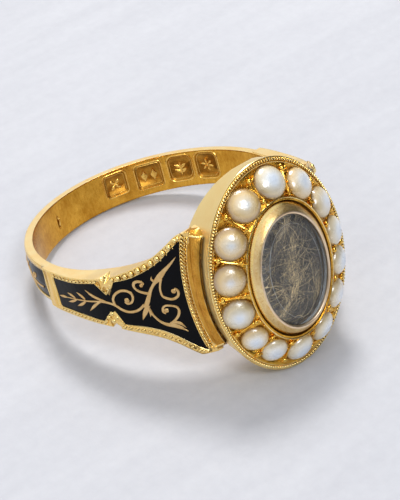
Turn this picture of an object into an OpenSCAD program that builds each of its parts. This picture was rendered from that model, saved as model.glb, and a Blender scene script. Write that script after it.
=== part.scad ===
// Mourning ring: an enamelled gold hoop with spreading shoulders and an oval
// head, in which a border of half pearls surrounds a glazed hair locket.
// Millimetres. The ring lies on its side on the plane z = 0, with the head
// towards -Y; it rests on the head's lower rim and on the back of the hoop.

/* [Hoop] */
// Inner diameter of the finger hole
bore_d = 17.2; // [16.2:0.1:18.6]
// Half the width of the hoop, along the finger
hoop_half = 1.32; // [1.25:0.01:1.40]
// Thickness of the hoop at its edges
hoop_edge = 0.60; // [0.56:0.01:0.70]
// Extra thickness at the middle of the hoop's rounded back
hoop_crown = 0.14; // [0.10:0.01:0.18]

/* [Enamel] */
// Thickness of the enamel
enamel_t = 0.28; // [0.22:0.01:0.30]
// How far the enamel lies below the gold around it
enamel_low = 0.04; // [0.02:0.01:0.08]
// Half the width of the enamel band round the back of the hoop
band_half = 0.98; // [0.80:0.01:1.00]
// How deep the pointed gold cusps reach into each shoulder panel
cusp_depth = 0.88; // [0.70:0.01:0.95]

/* [Head] */
// Half the height of the oval head, along the finger
head_a = 7.06; // [6.9:0.01:7.2]
// Half the breadth of the oval head
head_b = 5.31; // [5.2:0.01:5.4]
// Distance from the finger hole to the head's outer rim
head_rise = 3.42; // [3.3:0.01:3.6]
// How far the pearl plate rises from the outer rim to the locket
dome_rise = 1.36; // [1.25:0.01:1.45]
// Thickness of the metal behind the head
back_wall = 0.60; // [0.50:0.01:0.70]

/* [Pearls] */
// Size of the half pearls against the sizes in their table
pearl_size = 1; // [0.94:0.01:1.01]
// Height of a pearl's dome, as a part of its radius
pearl_dome = 0.52; // [0.40:0.01:0.70]
// Half the height of the oval on which the pearls are set
pearl_a = 5.64; // [5.60:0.01:5.72]
// Half the breadth of the oval on which the pearls are set
pearl_b = 4.22; // [4.20:0.01:4.26]

/* [Locket] */
// Half the height of the locket's outer wall
locket_a = 4.44; // [4.40:0.01:4.46]
// Half the breadth of the locket's outer wall
locket_b = 3.09; // [3.05:0.01:3.11]
// Half the height of the crystal
crystal_a = 3.68; // [3.62:0.01:3.72]
// Half the breadth of the crystal
crystal_b = 2.51; // [2.44:0.01:2.54]

/* [Hidden] */
gap = 0.03;          // clearance between one piece and the next
oval_n = 72;         // sides of the oval walls
fine = 3;            // steps between two rows of the shoulder table
bore_r = bore_d / 2;
rim_y = bore_r + head_rise;            // outer rim of the head, towards -Y
collar_y = rim_y + dome_rise;          // inner edge of the pearl plate

// The shoulder, from the side of the hoop to its fishtail end at the head.
// One row for each section, with the columns:
//   angle from the head, outer surface above the finger hole,
//   half height of the shoulder, half height of its enamel
wing = [
    [92.5, 0.78, 1.37, 1.04],
    [80.0, 0.98, 1.42, 1.04],
    [72.0, 1.22, 1.47, 1.10],
    [64.0, 1.49, 1.60, 1.28],
    [56.0, 1.77, 1.79, 1.43],
    [48.0, 2.00, 2.17, 1.66],
    [44.0, 2.08, 2.42, 1.88],
    [40.0, 2.21, 2.74, 2.19],
    [36.0, 2.43, 3.18, 2.64],
    [32.0, 2.69, 3.76, 3.26],
    [28.0, 2.86, 4.30, 3.86],
    [23.0, 2.98, 4.50, 4.10]
];

low_tip = 4.08;   // half height at which each fishtail's lower tip is cut off

// Hollow behind the fishtails, which leaves them thin. Columns: distance from
// the middle of the hoop along the finger, radius above the bore
wing_flare = [
    [1.70, 0.10], [2.00, 0.49], [2.40, 0.94], [2.70, 1.30], [3.16, 1.78],
    [3.73, 2.20], [4.38, 2.42], [5.50, 2.50]
];

// The opening that the finger passes through: a true bore at the middle that
// flares behind the head and the fishtails. Columns: distance from the middle
// of the hoop along the finger, radius above the bore
flare = [
    [1.25, 0.00], [1.36, 0.03], [1.60, 0.12], [1.80, 0.26], [2.00, 0.46],
    [2.40, 0.82], [2.80, 1.12], [3.30, 1.34], [4.00, 1.48], [5.20, 1.63],
    [6.20, 1.88], [6.70, 2.16], [6.90, 2.50], [7.20, 3.00], [8.20, 4.00]
];

// Oval sections of the head box, from back to front. Columns:
// distance in front of the rim (negative is behind it), added half height,
// added half breadth
box_rows = [
    [-4.30, -0.90, -0.68], [-1.40, -0.30, -0.22], [-0.30, -0.06, -0.045],
    [-0.08, 0.00, 0.00], [0.03, -0.06, -0.06], [0.05, -0.24, -0.22]
];

// Oval sections of the fishtail's end wall, which closes in on the head box.
// Columns: distance behind the rim, half height, half breadth above head_b
tail_rows = [
    [2.10, 10.4, 0.14], [1.95, 10.3, 0.12], [1.45, 8.70, 0.08],
    [0.88, 7.18, 0.04]
];

// Sections of the locket's sloping lip, from the outer wall up to the crest and
// down to the crystal. Columns: distance in front of collar_y, part of the way
// from the outer wall to the inner wall
lip_rows = [
    [-0.28, 0.00], [-0.20, 0.06], [-0.04, 0.23], [0.11, 0.42], [0.22, 0.58],
    [0.29, 0.72], [0.32, 0.82], [0.31, 0.91], [0.27, 0.98], [0.22, 1.00]
];

wing_last = len(wing) - 1;
// The point on a smooth curve through four rows, at t from 0 to 1
function between(p, q, r, s, t) = 0.5 * (2 * q + (r - p) * t
    + (2 * p - 5 * q + 4 * r - s) * t * t + (3 * q - p - 3 * r + s) * t * t * t);
sections = concat([for (i = [0:wing_last - 1], k = [0:fine - 1])
    between(wing[max(i - 1, 0)], wing[i], wing[i + 1],
            wing[min(i + 2, wing_last)], k / fine)], [wing[wing_last]]);

// Position towards the head and position to the side, of a surface that lies
// a given depth below a section's outer surface
function ahead(s, depth = 0) = -(bore_r + s[1] - depth) * cos(s[0]);
function aside(s, depth = 0) = (bore_r + s[1] - depth) * sin(s[0]);
// The fishtail's concave end, and the end of its enamel, at a height z
function end_y(z) = -(bore_r + 1.50 + 0.022 * z * z);
function panel_end_y(z) = -(bore_r + 1.22 + 0.022 * z * z);

function reversed(list) = [for (i = [len(list) - 1:-1:0]) list[i]];
function flipped(list) = [for (p = reversed(list)) [p[0], -p[1]]];

// Points of an oval: half height a runs along z, half breadth b along x
function oval(y, a, b) = [for (k = [0:oval_n - 1])
    [b * cos(360 * k / oval_n), y, a * sin(360 * k / oval_n)]];
// Solid through oval sections given as [y, half height, half breadth],
// from the back of the head to its front
module oval_loft(rows) {
    n = oval_n;
    last = len(rows) - 1;
    polyhedron(
        points = [for (r = rows) each oval(r[0], r[1], r[2])],
        faces = concat(
            [[for (k = [0:n - 1]) k]],
            [for (i = [0:last - 1], k = [0:n - 1])
                [i * n + k, (i + 1) * n + k,
                 (i + 1) * n + (k + 1) % n, i * n + (k + 1) % n]],
            [[for (k = [n - 1:-1:0]) last * n + k]]));
}

// Half angle covered by a shoulder's sections nearest an angle
function section_at(angle) = [for (s = sections) if (s[0] <= angle) s][0];

// ---- gold ----------------------------------------------------------------
// Section of the hoop, left thick inside until the finger hole is cut
module hoop_section() {
    r = bore_r + hoop_edge;
    c = hoop_crown;
    h = hoop_half;
    polygon([[bore_r - 0.5, -h], [r - 0.10, -h], [r - 0.03, -h + 0.03],
             [r, -h + 0.10], [r + 0.55 * c, -0.62 * h], [r + 0.88 * c, -0.30 * h],
             [r + c, 0], [r + 0.88 * c, 0.30 * h], [r + 0.55 * c, 0.62 * h],
             [r, h - 0.10], [r - 0.03, h - 0.03], [r - 0.10, h],
             [bore_r - 0.5, h]]);
}
module hoop_full() { rotate_extrude($fn = 180) hoop_section(); }

// Outline of both shoulders seen along the finger
module shoulder_plan() {
    inner = bore_r - 0.6;
    for (side = [-1, 1]) {
        polygon([for (p = concat([for (s = sections) [aside(s), ahead(s)]],
                [for (s = reversed(sections)) [inner * sin(s[0]), -inner * cos(s[0])]]))
            [side * p[0], p[1]]]);
    }
}
// Outline of a shoulder seen from the side, spreading to its fishtail
module shoulder_side() {
    top = section_at(28)[2];
    low = min(top, low_tip);
    upper = [for (s = sections) let (z = min(s[2], top))
        if (ahead(s) > end_y(z) + 0.02) [ahead(s), z]];
    lower = [for (s = reversed(sections)) let (z = min(s[2], low))
        if (ahead(s) > end_y(z) + 0.02) [ahead(s), -z]];
    end = [for (k = [5:-1:-5]) let (z = (k > 0 ? top : low) * k / 5) [end_y(z), z]];
    polygon(concat(upper, end, lower));
}
module shoulders() {
    difference() {
        intersection() {
            translate([0, 0, -5]) linear_extrude(10) shoulder_plan();
            // y stays y, z comes from the outline's second axis
            translate([-12, 0, 0]) rotate([90, 0, 90]) linear_extrude(24) shoulder_side();
        }
        revolved(wing_flare, 0);
    }
}
// The narrow wall that closes each fishtail against the head box
module tail_wall() {
    intersection() {
        oval_loft([for (r = tail_rows) [-(rim_y - r[0]), r[1], head_b + r[2]]]);
        translate([-12, 0, 0]) rotate([90, 0, 90]) linear_extrude(24)
            polygon([[-(rim_y - 2.3), 4.20], [-(rim_y - 1.55), 4.20],
                     [-(rim_y - 0.80), 3.95], [-(rim_y - 0.80), -3.35],
                     [-(rim_y - 1.55), -3.95], [-(rim_y - 2.3), -4.00]]);
    }
}
module head_box() {
    edge = box_rows[len(box_rows) - 1];
    oval_loft(concat(
        [for (r = box_rows) [-(rim_y + r[0]), head_a + r[1], head_b + r[2]]],
        [[-(rim_y + 0.44 * dome_rise), pearl_a, pearl_b],
         [-(collar_y - 0.26), locket_a + 0.32, locket_b + 0.28],
         [-(collar_y - 0.18), locket_a + 0.24, locket_b + 0.22]]));
}
// Hollow turned about the finger's axis, from a table of flare
module revolved(table, wall) {
    far = table[len(table) - 1];
    half = concat([for (f = table) [bore_r + wall + f[1], f[0]]],
                  [[0, far[0]]]);
    rotate_extrude($fn = 180)
        polygon(concat(half, [for (p = reversed(half)) [p[0], -p[1]]]));
}
// Finger hole with its flare: one true revolve
module finger_hole(wall = 0) { revolved(flare, wall); }
// Hollow of the head box, behind the pearl plate
module head_hollow() {
    difference() {
        oval_loft([[-(bore_r + 0.2), head_a - 1.05, head_b - 0.95],
                   [-(rim_y - 0.95), head_a - 0.95, head_b - 0.85],
                   [-(rim_y - 0.40), locket_a + 1.0, locket_b + 0.95],
                   [-(rim_y + 0.10), locket_a + 0.5, locket_b + 0.5]]);
        finger_hole(back_wall);
    }
}
// Oval hole in which the locket sits
module locket_seat() {
    oval_loft([[-(rim_y - 1.2), locket_a + 0.10, locket_b + 0.10],
               [-(collar_y + 0.5), locket_a + 0.10, locket_b + 0.10]]);
}

// The half pearls, clockwise from the one at the top as seen from in front of
// the head. Columns: place round the oval in degrees from +X, radius
pearls = [
    [84.5, 1.10], [53.8, 1.06], [28.2, 1.03], [4.6, 0.98], [-16.1, 0.96],
    [-39.2, 0.98], [-66.0, 1.02], [-94.3, 1.00], [-121.8, 0.90],
    [-143.6, 0.90], [-167.2, 1.05], [168.5, 1.07], [144.5, 1.08], [115.8, 1.09]
];
slope = 32;                  // the plate's lean at the pearls, in degrees
pearl_y = rim_y + 0.52;      // where the pearls' girdles lie
seat_depth = 0.25;           // how far a pearl goes into its drilled seat
// The way the plate faces at an angle round the oval, from +X towards +Z
function plate_face(g) = atan2(sin(g) / pearl_a, cos(g) / pearl_b);
// A shape placed at pearl i, its own +Z pointing straight out of the plate
module at_pearl(i) {
    g = pearls[i][0];
    translate([pearl_b * cos(g), -pearl_y, pearl_a * sin(g)])
        rotate([0, -plate_face(g), 0]) rotate([90, 0, 0]) rotate([0, slope, 0])
            children();
}
module half_pearl(i) {
    r = pearls[i][1] * pearl_size;
    h = r * pearl_dome;
    ball = (r * r + h * h) / (2 * h);
    intersection() {
        translate([0, 0, h - ball]) sphere(ball, $fn = 64);
        translate([0, 0, -seat_depth]) cylinder(h = h + seat_depth + 0.1, r = r, $fn = 64);
    }
}
// Drilled seat that the pearl sits in
module pearl_seat(i) {
    translate([0, 0, -seat_depth - gap])
        cylinder(h = 1.6, r = pearls[i][1] * pearl_size + gap, $fn = 64);
}

// Elevation outline of a shoulder's enamel, drawn in by an amount inset
module panel_side(inset) {
    cusp = section_at(57.5);
    edge = [for (s = sections) if (s[0] < 85.4 && s[0] > 28.6) s];
    before = [for (s = edge) if (s[0] > 61) [ahead(s), s[3] - inset]];
    after = [for (s = edge) if (s[0] < 53.5) [ahead(s), s[3] - inset]];
    point = [[ahead(cusp), cusp[3] - cusp_depth - inset]];
    tip = 3.86 - inset;
    rear = [[-0.85 - inset, 1.00 - inset]];
    upper = concat(rear, before, point, after);
    end = [for (k = [6:-1:-6]) [panel_end_y(tip * k / 6) + inset, tip * k / 6]];
    polygon(concat(upper, end, flipped(upper)));
}
// The layer between two depths below both shoulders' outer surfaces
module layer_plan(side, outer, inner) {
    polygon([for (p = concat([for (s = sections) [aside(s, outer), ahead(s, outer)]],
            [for (s = reversed(sections)) [aside(s, inner), ahead(s, inner)]]))
        [side * p[0], p[1]]]);
}
module shoulder_panel(side, outer, inner, inset) {
    intersection() {
        translate([0, 0, -5]) linear_extrude(10) layer_plan(side, outer, inner);
        translate([side > 0 ? 0.5 : -12, 0, 0]) rotate([90, 0, 90])
            linear_extrude(11.5) panel_side(inset);
    }
}
// Enamel band round the back of the hoop
module back_band(inner, low, inset, trim) {
    r = bore_r + hoop_edge + hoop_crown;
    h = band_half - inset;
    rotate([0, 0, 4 + trim]) rotate_extrude(angle = 172 - 2 * trim, $fn = 180)
        polygon([[inner, -h], [r - 0.11 - low, -h], [r - 0.03 - low, -0.45 * h],
                 [r - low, 0], [r - 0.03 - low, 0.45 * h], [r - 0.11 - low, h],
                 [inner, h]]);
}
// Small V cut in the rim of each shoulder, over the cusp
module rim_cuts() {
    s = section_at(56.5);
    for (side = [-1, 1], up = [-1, 1])
        translate([side * aside(s), ahead(s), up * (s[2] + 0.06)])
            rotate([0, 0, side * -s[0]]) rotate([45, 0, 0])
                cube([1.1, 0.34, 0.34], center = true);
}

// ---- rest pose -----------------------------------------------------------
// The head touches at the back edge of its wall, and the hoop at the lower edge
// of its back. Each as [distance towards the head, half height]
touch_head = [bore_r + 2.4047, head_a - 0.2161];
touch_hoop = [-(bore_r + hoop_edge - 0.10), hoop_half];
lay = atan2(touch_head[1] - touch_hoop[1], touch_head[0] - touch_hoop[0]);
lift = touch_head[1] * cos(lay) - touch_head[0] * sin(lay);
lay_y = 2.59; // puts the middle of the ring's depth over the origin
module laid() { translate([0, lay_y, lift]) rotate([-lay, 0, 0]) children(); }

// Hoop, shoulders and head box, soldered into one piece of gold
module ring_body() {
    color([0.86, 0.64, 0.26]) laid() difference() {
        union() {
            hoop_full();
            shoulders();
            tail_wall();
            head_box();
        }
        finger_hole();
        head_hollow();
        locket_seat();
        for (i = [0:len(pearls) - 1]) at_pearl(i) pearl_seat(i);
        for (side = [-1, 1]) shoulder_panel(side, -0.5, enamel_low + enamel_t + gap, -gap);
        back_band(bore_r + hoop_edge + hoop_crown - enamel_low - enamel_t - gap, -0.5, -gap, -0.2);
        rim_cuts();
    }
}
module enamel_left() {
    color([0.03, 0.03, 0.05]) laid() shoulder_panel(-1, enamel_low, enamel_low + enamel_t, 0);
}
module enamel_right() {
    color([0.03, 0.03, 0.05]) laid() shoulder_panel(1, enamel_low, enamel_low + enamel_t, 0);
}
module enamel_back() {
    color([0.03, 0.03, 0.05]) laid()
        back_band(bore_r + hoop_edge + hoop_crown - enamel_low - enamel_t, enamel_low, 0, 0);
}
// Gold cup and rounded lip that hold the crystal over the hair
module locket_bezel() {
    wa = locket_a - crystal_a - gap;
    wb = locket_b - crystal_b - gap;
    color([0.84, 0.66, 0.34]) laid() difference() {
        oval_loft(concat([[-(collar_y - 2.30), locket_a, locket_b]],
            [for (l = lip_rows) if (l[1] < 0.83)
                [-(collar_y + l[0]), locket_a - l[1] * wa, locket_b - l[1] * wb]]));
        oval_loft(concat(
            [[-(collar_y - 1.85), crystal_a + gap, crystal_b + gap],
             [-(collar_y + 0.22), crystal_a + gap, crystal_b + gap]],
            [for (l = reversed(lip_rows)) if (l[1] > 0.81 && l[1] < 0.99)
                [-(collar_y + l[0]), locket_a - l[1] * wa, locket_b - l[1] * wb]],
            [[-(collar_y + 0.6), locket_a - 0.8 * wa, locket_b - 0.8 * wb]]));
    }
}
// Bevelled crystal with a low dome
module crystal() {
    color([0.85, 0.90, 0.95, 0.4]) laid() oval_loft([
        for (c = [[-0.62, 0], [0.20, 0], [0.27, 0.16], [0.33, 0.42], [0.36, 0.60],
                  [0.40, 1.10], [0.43, 1.90]])
            [-(collar_y + c[0]), crystal_a - c[1], crystal_b - c[1]]]);
}
// Pad of hair behind the crystal
module hair_panel() {
    color([0.35, 0.32, 0.29]) laid() oval_loft([
        for (c = [[-1.82, 0.02], [-0.95, 0.02], [-0.80, 0.10], [-0.68, 0.35], [-0.65, 0.9]])
            [-(collar_y + c[0]), crystal_a - c[1], crystal_b - c[1]]]);
}
module pearl(i) {
    color([0.90, 0.86, 0.76]) laid() at_pearl(i) half_pearl(i);
}
module pearl_01() { pearl(0); }
module pearl_02() { pearl(1); }
module pearl_03() { pearl(2); }
module pearl_04() { pearl(3); }
module pearl_05() { pearl(4); }
module pearl_06() { pearl(5); }
module pearl_07() { pearl(6); }
module pearl_08() { pearl(7); }
module pearl_09() { pearl(8); }
module pearl_10() { pearl(9); }
module pearl_11() { pearl(10); }
module pearl_12() { pearl(11); }
module pearl_13() { pearl(12); }
module pearl_14() { pearl(13); }

ring_body();
enamel_left();
enamel_right();
enamel_back();
locket_bezel();
crystal();
hair_panel();
pearl_01();
pearl_02();
pearl_03();
pearl_04();
pearl_05();
pearl_06();
pearl_07();
pearl_08();
pearl_09();
pearl_10();
pearl_11();
pearl_12();
pearl_13();
pearl_14();
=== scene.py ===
import math

import bmesh
import bpy
import numpy as np
from mathutils import Matrix, Vector


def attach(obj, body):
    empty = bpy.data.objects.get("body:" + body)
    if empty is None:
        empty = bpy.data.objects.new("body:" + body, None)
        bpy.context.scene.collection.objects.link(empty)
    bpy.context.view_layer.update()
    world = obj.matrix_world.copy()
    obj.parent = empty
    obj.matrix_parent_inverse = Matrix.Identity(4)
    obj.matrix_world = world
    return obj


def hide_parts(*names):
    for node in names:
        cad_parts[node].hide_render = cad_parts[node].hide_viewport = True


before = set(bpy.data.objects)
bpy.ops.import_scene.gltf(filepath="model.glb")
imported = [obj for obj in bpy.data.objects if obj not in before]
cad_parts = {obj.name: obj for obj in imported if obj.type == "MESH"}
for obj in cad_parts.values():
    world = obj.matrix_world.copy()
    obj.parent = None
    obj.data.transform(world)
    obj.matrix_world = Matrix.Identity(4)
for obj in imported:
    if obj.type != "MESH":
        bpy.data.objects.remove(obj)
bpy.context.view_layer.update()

rng = np.random.default_rng(11)

# ---------------------------------------------------------------- sizes, in mm
BORE, HOOP_HALF, EDGE, CROWN = 8.6, 1.32, 0.60, 0.14
HEAD_A, HEAD_B, RIM_Y, DOME_RISE = 7.06, 5.31, 12.02, 1.36
COLLAR_Y = RIM_Y + DOME_RISE
PEARL_A, PEARL_B, PEARL_Y, SLOPE = 5.64, 4.22, RIM_Y + 0.52, math.radians(32)
LOCK_A, LOCK_B, CRY_A, CRY_B, GAP = 4.44, 3.09, 3.68, 2.51, 0.03
LOW_TIP, TOP_TIP = 4.08, 4.30
LAY, LIFT, LAY_Y = math.radians(15.363288), 3.683769, 2.59
CL, SL = math.cos(LAY), math.sin(LAY)
WING = np.array([
    [92.5, 0.78, 1.37, 1.04], [80.0, 0.98, 1.42, 1.04], [72.0, 1.22, 1.47, 1.10],
    [64.0, 1.49, 1.60, 1.28], [56.0, 1.77, 1.79, 1.43], [48.0, 2.00, 2.17, 1.66],
    [44.0, 2.08, 2.42, 1.88], [40.0, 2.21, 2.74, 2.19], [36.0, 2.43, 3.18, 2.64],
    [32.0, 2.69, 3.76, 3.26], [28.0, 2.86, 4.30, 3.86], [23.0, 2.98, 4.50, 4.10]])
PEARLS = [(84.5, 1.10), (53.8, 1.06), (28.2, 1.03), (4.6, 0.98), (-16.1, 0.96),
          (-39.2, 0.98), (-66.0, 1.02), (-94.3, 1.00), (-121.8, 0.90), (-143.6, 0.90),
          (-167.2, 1.05), (168.5, 1.07), (144.5, 1.08), (115.8, 1.09)]
# how blue (+) or warm (-) each pearl is, in the same order
TINTS = [0.9, 0.4, 0.6, 0.7, 0.75, 0.7, 0.62, 0.64, 0.62, 0.3, 0.8, 0.0, 0.2, 0.0]
# how far the painted dark rim (painted shade and painted reflection of the gold) reaches in (+) or the painted pale
# highlight of the middle reaches out (-)
SPREAD = [0.0, -0.10, -0.06, -0.13, -0.13, -0.13, -0.14, -0.16, -0.13, -0.06, 0.10, 0.14, 0.15, 0.11]


def to_row(p):
    """Points of the ring's own frame in mm to the shared frame in metres."""
    p = np.asarray(p, float).reshape(-1, 3)
    return np.stack([p[:, 0], p[:, 1] * CL + p[:, 2] * SL + LAY_Y,
                     -p[:, 1] * SL + p[:, 2] * CL + LIFT], 1) * 0.001


def to_ring(p):
    """The inverse of to_row."""
    p = np.asarray(p, float).reshape(-1, 3) * 1000
    y, z = p[:, 1] - LAY_Y, p[:, 2] - LIFT
    return np.stack([p[:, 0], y * CL - z * SL, y * SL + z * CL], 1)


def smooth_rows(rows, steps=3):
    rows = np.asarray(rows, float)
    out, last = [], len(rows) - 1
    for i in range(last):
        p, q, r, s = rows[max(i - 1, 0)], rows[i], rows[i + 1], rows[min(i + 2, last)]
        for k in range(steps):
            t = k / steps
            out.append(0.5 * (2 * q + (r - p) * t + (2 * p - 5 * q + 4 * r - s) * t * t
                              + (3 * q - p - 3 * r + s) * t ** 3))
    out.append(rows[last])
    return np.array(out)


SECT = smooth_rows(WING)[::-1]          # rising angle
def at(angle, col): return np.interp(angle, SECT[:, 0], SECT[:, col])
def end_y(z): return -(BORE + 1.50 + 0.022 * z * z)
def panel_end_y(z): return -(BORE + 1.22 + 0.022 * z * z)


# the shoulder's outer face unrolled: length along it from the side to the head
_th = np.linspace(93.0, 20.0, 740)
_r = BORE + at(_th, 1)
_px, _py = _r * np.sin(np.radians(_th)), -_r * np.cos(np.radians(_th))
_s = np.concatenate([[0], np.cumsum(np.hypot(np.diff(_px), np.diff(_py)))])
_tx, _ty = np.gradient(_px, _s), np.gradient(_py, _s)
_tx, _ty = np.convolve(np.pad(_tx, 12, "edge"), np.ones(25) / 25, "valid"), np.convolve(np.pad(_ty, 12, "edge"), np.ones(25) / 25, "valid")
_nx, _ny = -_ty, _tx
_q = np.sign(_nx * _px + _ny * _py)
_nx, _ny = _nx * _q, _ny * _q
def s_of(angle): return np.interp(-np.asarray(angle, float), -_th, _s)
def angle_of(s): return np.interp(s, _s, _th)


def shoulder(side):
    """Map from (length, height, lift) to a point on the shoulder of that side."""
    def place(s, z, lift):
        s = np.asarray(s, float)
        x = np.interp(s, _s, _px) + np.interp(s, _s, _nx) * lift
        y = np.interp(s, _s, _py) + np.interp(s, _s, _ny) * lift
        return np.stack([side * x, y, np.broadcast_to(z, x.shape)], 1)
    return place


BACK_R = BORE + EDGE + CROWN
def back(s, z, lift):
    """Map from (length, height, lift) to the enamel band round the back of the hoop."""
    a = np.asarray(s, float) / BACK_R
    drop = np.interp(np.abs(z), [0, 0.44, 0.98, 1.4], [0, 0.03, 0.11, 0.2])
    r = BACK_R + lift - drop
    return np.stack([r * np.cos(a), r * np.sin(a), np.broadcast_to(z, a.shape)], 1)


# ---------------------------------------------------------------- mesh helpers
class Geo:
    def __init__(self):
        self.v, self.f, self.m, self.a, self.n = [], [], [], [], 0

    def add(self, v, f, m=0, a=0.0):
        v = np.asarray(v, float).reshape(-1, 3)
        self.v.append(v)
        self.f += [[i + self.n for i in q] for q in f]
        self.m += [m] * len(f)
        self.a.append(np.broadcast_to(np.asarray(a, float), (len(v),)).copy())
        self.n += len(v)

    def build(self, name, mats, slot, replaces=(), sharp=40, row=False):
        me = bpy.data.meshes.new(name)
        v = np.concatenate(self.v)
        me.from_pydata((v if row else to_row(v)).tolist(), [], self.f)
        me.polygons.foreach_set("material_index", np.array(self.m, np.int32))
        att = me.attributes.new("tone", "FLOAT", "POINT")
        att.data.foreach_set("value", np.concatenate(self.a).astype(np.float32))
        return finish_mesh(name, me, mats, replaces, sharp)


def finish_mesh(name, me, mats, replaces=(), sharp=40, recalc=True):
    bm = bmesh.new()
    bm.from_mesh(me)
    if recalc:
        bmesh.ops.recalc_face_normals(bm, faces=bm.faces)
    bm.to_mesh(me)
    bm.free()
    for m in mats:
        me.materials.append(m)
    me.shade_smooth()
    me.set_sharp_from_angle(angle=math.radians(sharp))
    me.update()
    o = bpy.data.objects.new(name, me)
    bpy.context.scene.collection.objects.link(o)
    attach(o, "root")
    if replaces:
        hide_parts(*replaces)
    return o


def grid(nu, nv, wrap_u=False, wrap_v=False):
    f = []
    for i in range(nu if wrap_u else nu - 1):
        for j in range(nv if wrap_v else nv - 1):
            a, b = i * nv + j, i * nv + (j + 1) % nv
            c, d = ((i + 1) % nu) * nv + (j + 1) % nv, ((i + 1) % nu) * nv + j
            f.append([a, b, c, d])
    return f


def ball(nu=10, nv=6):
    v = [[0, 0, 1]]
    for j in range(1, nv):
        t = math.pi * j / nv
        v += [[math.sin(t) * math.cos(2 * math.pi * i / nu), math.sin(t) * math.sin(2 * math.pi * i / nu), math.cos(t)] for i in range(nu)]
    v.append([0, 0, -1])
    f = [[0, 1 + i, 1 + (i + 1) % nu] for i in range(nu)]
    for j in range(nv - 2):
        o = 1 + j * nu
        f += [[o + i, o + nu + i, o + nu + (i + 1) % nu, o + (i + 1) % nu] for i in range(nu)]
    o = 1 + (nv - 2) * nu
    f += [[len(v) - 1, o + (i + 1) % nu, o + i] for i in range(nu)]
    return np.array(v, float), f


BALL = ball()
BALL_FINE = ball(18, 12)


def unit(v):
    v = np.asarray(v, float)
    return v / max(np.linalg.norm(v), 1e-12)


def bead(g, c, u, w, n, ru, rw, rn, m=0, a=0.0, shape=None):
    """An ellipsoid at c with half axes ru, rw and rn along u, w and n."""
    v, f = shape or BALL
    g.add(np.asarray(c) + v @ np.array([unit(u) * ru, unit(w) * rw, unit(n) * rn]), f, m, a)


def surface_bead(g, place, s, z, r1, r2, rn, turn=0.0, lift=0.0, m=0, a=0.0, shape=None):
    """A bead on a mapped surface, r1 long at an angle turn from the surface's length."""
    e = 0.01
    c = place([s], z, lift)[0]
    u = unit(place([s + e], z, lift)[0] - c)
    w = np.array([0.0, 0.0, 1.0])
    n = unit(place([s], z, lift + 0.05)[0] - c)
    ca, sa = math.cos(turn), math.sin(turn)
    bead(g, c, ca * u + sa * w, -sa * u + ca * w, n, r1, r2, rn, m, a, shape)


def spline(pts, per=6):
    pts = np.asarray(pts, float)
    if len(pts) < 3:
        t = np.linspace(0, 1, per + 1)[:, None]
        return pts[0] * (1 - t) + pts[-1] * t
    return smooth_rows(pts, per)


def ribbon(g, place, pts, widths, per=6, top=0.0, bottom=-0.09, crown=0.012, m=0, a=0.0):
    """A strip along pts, in (length, height) of a mapped surface, with rounded edges."""
    p = spline(np.column_stack([np.asarray(pts, float), widths]), per)
    w = np.maximum(p[:, 2], 0.004)
    t = np.gradient(p[:, :2], axis=0)
    t /= np.maximum(np.linalg.norm(t, axis=1, keepdims=True), 1e-9)
    nrm = np.column_stack([-t[:, 1], t[:, 0]])
    prof = [(-1, bottom), (-1, top - 0.018), (-0.86, top), (-0.4, top + crown * 0.8), (0, top + crown),
            (0.4, top + crown * 0.8), (0.86, top), (1, top - 0.018), (1, bottom)]
    ring = []
    for off, lift in prof:
        q = p[:, :2] + nrm * (w * off)[:, None]
        ring.append(place(q[:, 0], q[:, 1], lift))
    v = np.stack(ring, 1).reshape(-1, 3)
    k, n = len(prof), len(p)
    f = grid(n, k, False, True) + [list(range(k)), list(range((n - 1) * k, n * k))[::-1]]
    g.add(v, f, m, a)


def disc(g, place, s, z, r, top=0.02, bottom=-0.09, m=0, n=16):
    a = np.linspace(0, 2 * math.pi, n, endpoint=False)
    rows = [(r, bottom), (r, top - 0.03), (r * 0.82, top), (r * 0.4, top + 0.02)]
    v = [place(s + q * np.cos(a), z + q * np.sin(a), l) for q, l in rows] + [place([s], z, top + 0.03), place([s], z, bottom)]
    f = grid(len(rows), n, False, True)
    e = len(rows) * n
    f += [[(len(rows) - 1) * n + i, (len(rows) - 1) * n + (i + 1) % n, e] for i in range(n)]
    f += [[i, e + 1, (i + 1) % n] for i in range(n)]
    g.add(np.concatenate(v), f, m)


def tube(g, pts, r, n=8, closed=False, m=0, a=0.0):
    p = np.asarray(pts, float)
    k = len(p)
    r = np.broadcast_to(np.asarray(r, float), (k,))
    t = (np.roll(p, -1, 0) - np.roll(p, 1, 0)) if closed else np.gradient(p, axis=0)
    t /= np.maximum(np.linalg.norm(t, axis=1, keepdims=True), 1e-12)
    up = np.array([0.0, 0.0, 1.0]) if abs(t[0, 2]) < 0.9 else np.array([0.0, 1.0, 0.0])
    u = unit(np.cross(t[0], up))
    v = []
    for i in range(k):
        u = unit(u - t[i] * np.dot(u, t[i]))
        w = np.cross(t[i], u)
        ang = np.linspace(0, 2 * math.pi, n, endpoint=False)
        v.append(p[i] + r[i] * (np.cos(ang)[:, None] * u + np.sin(ang)[:, None] * w))
    f = grid(k, n, closed, True)
    if not closed:
        f += [list(range(n)), list(range((k - 1) * n, k * n))[::-1]]
    g.add(np.concatenate(v), f, m, a)


def loft(g, rows, n=180, m=0, caps=True):
    """Through ovals given as (distance in front of the ring's axis, half height, half breadth)."""
    t = np.linspace(0, 2 * math.pi, n, endpoint=False)
    v = np.concatenate([np.stack([b * np.cos(t), np.full(n, -y), a * np.sin(t)], 1) for y, a, b in rows])
    f = grid(len(rows), n, False, True)
    if caps:
        f += [list(range(n)), list(range((len(rows) - 1) * n, len(rows) * n))[::-1]]
    g.add(v, f, m)


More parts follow.
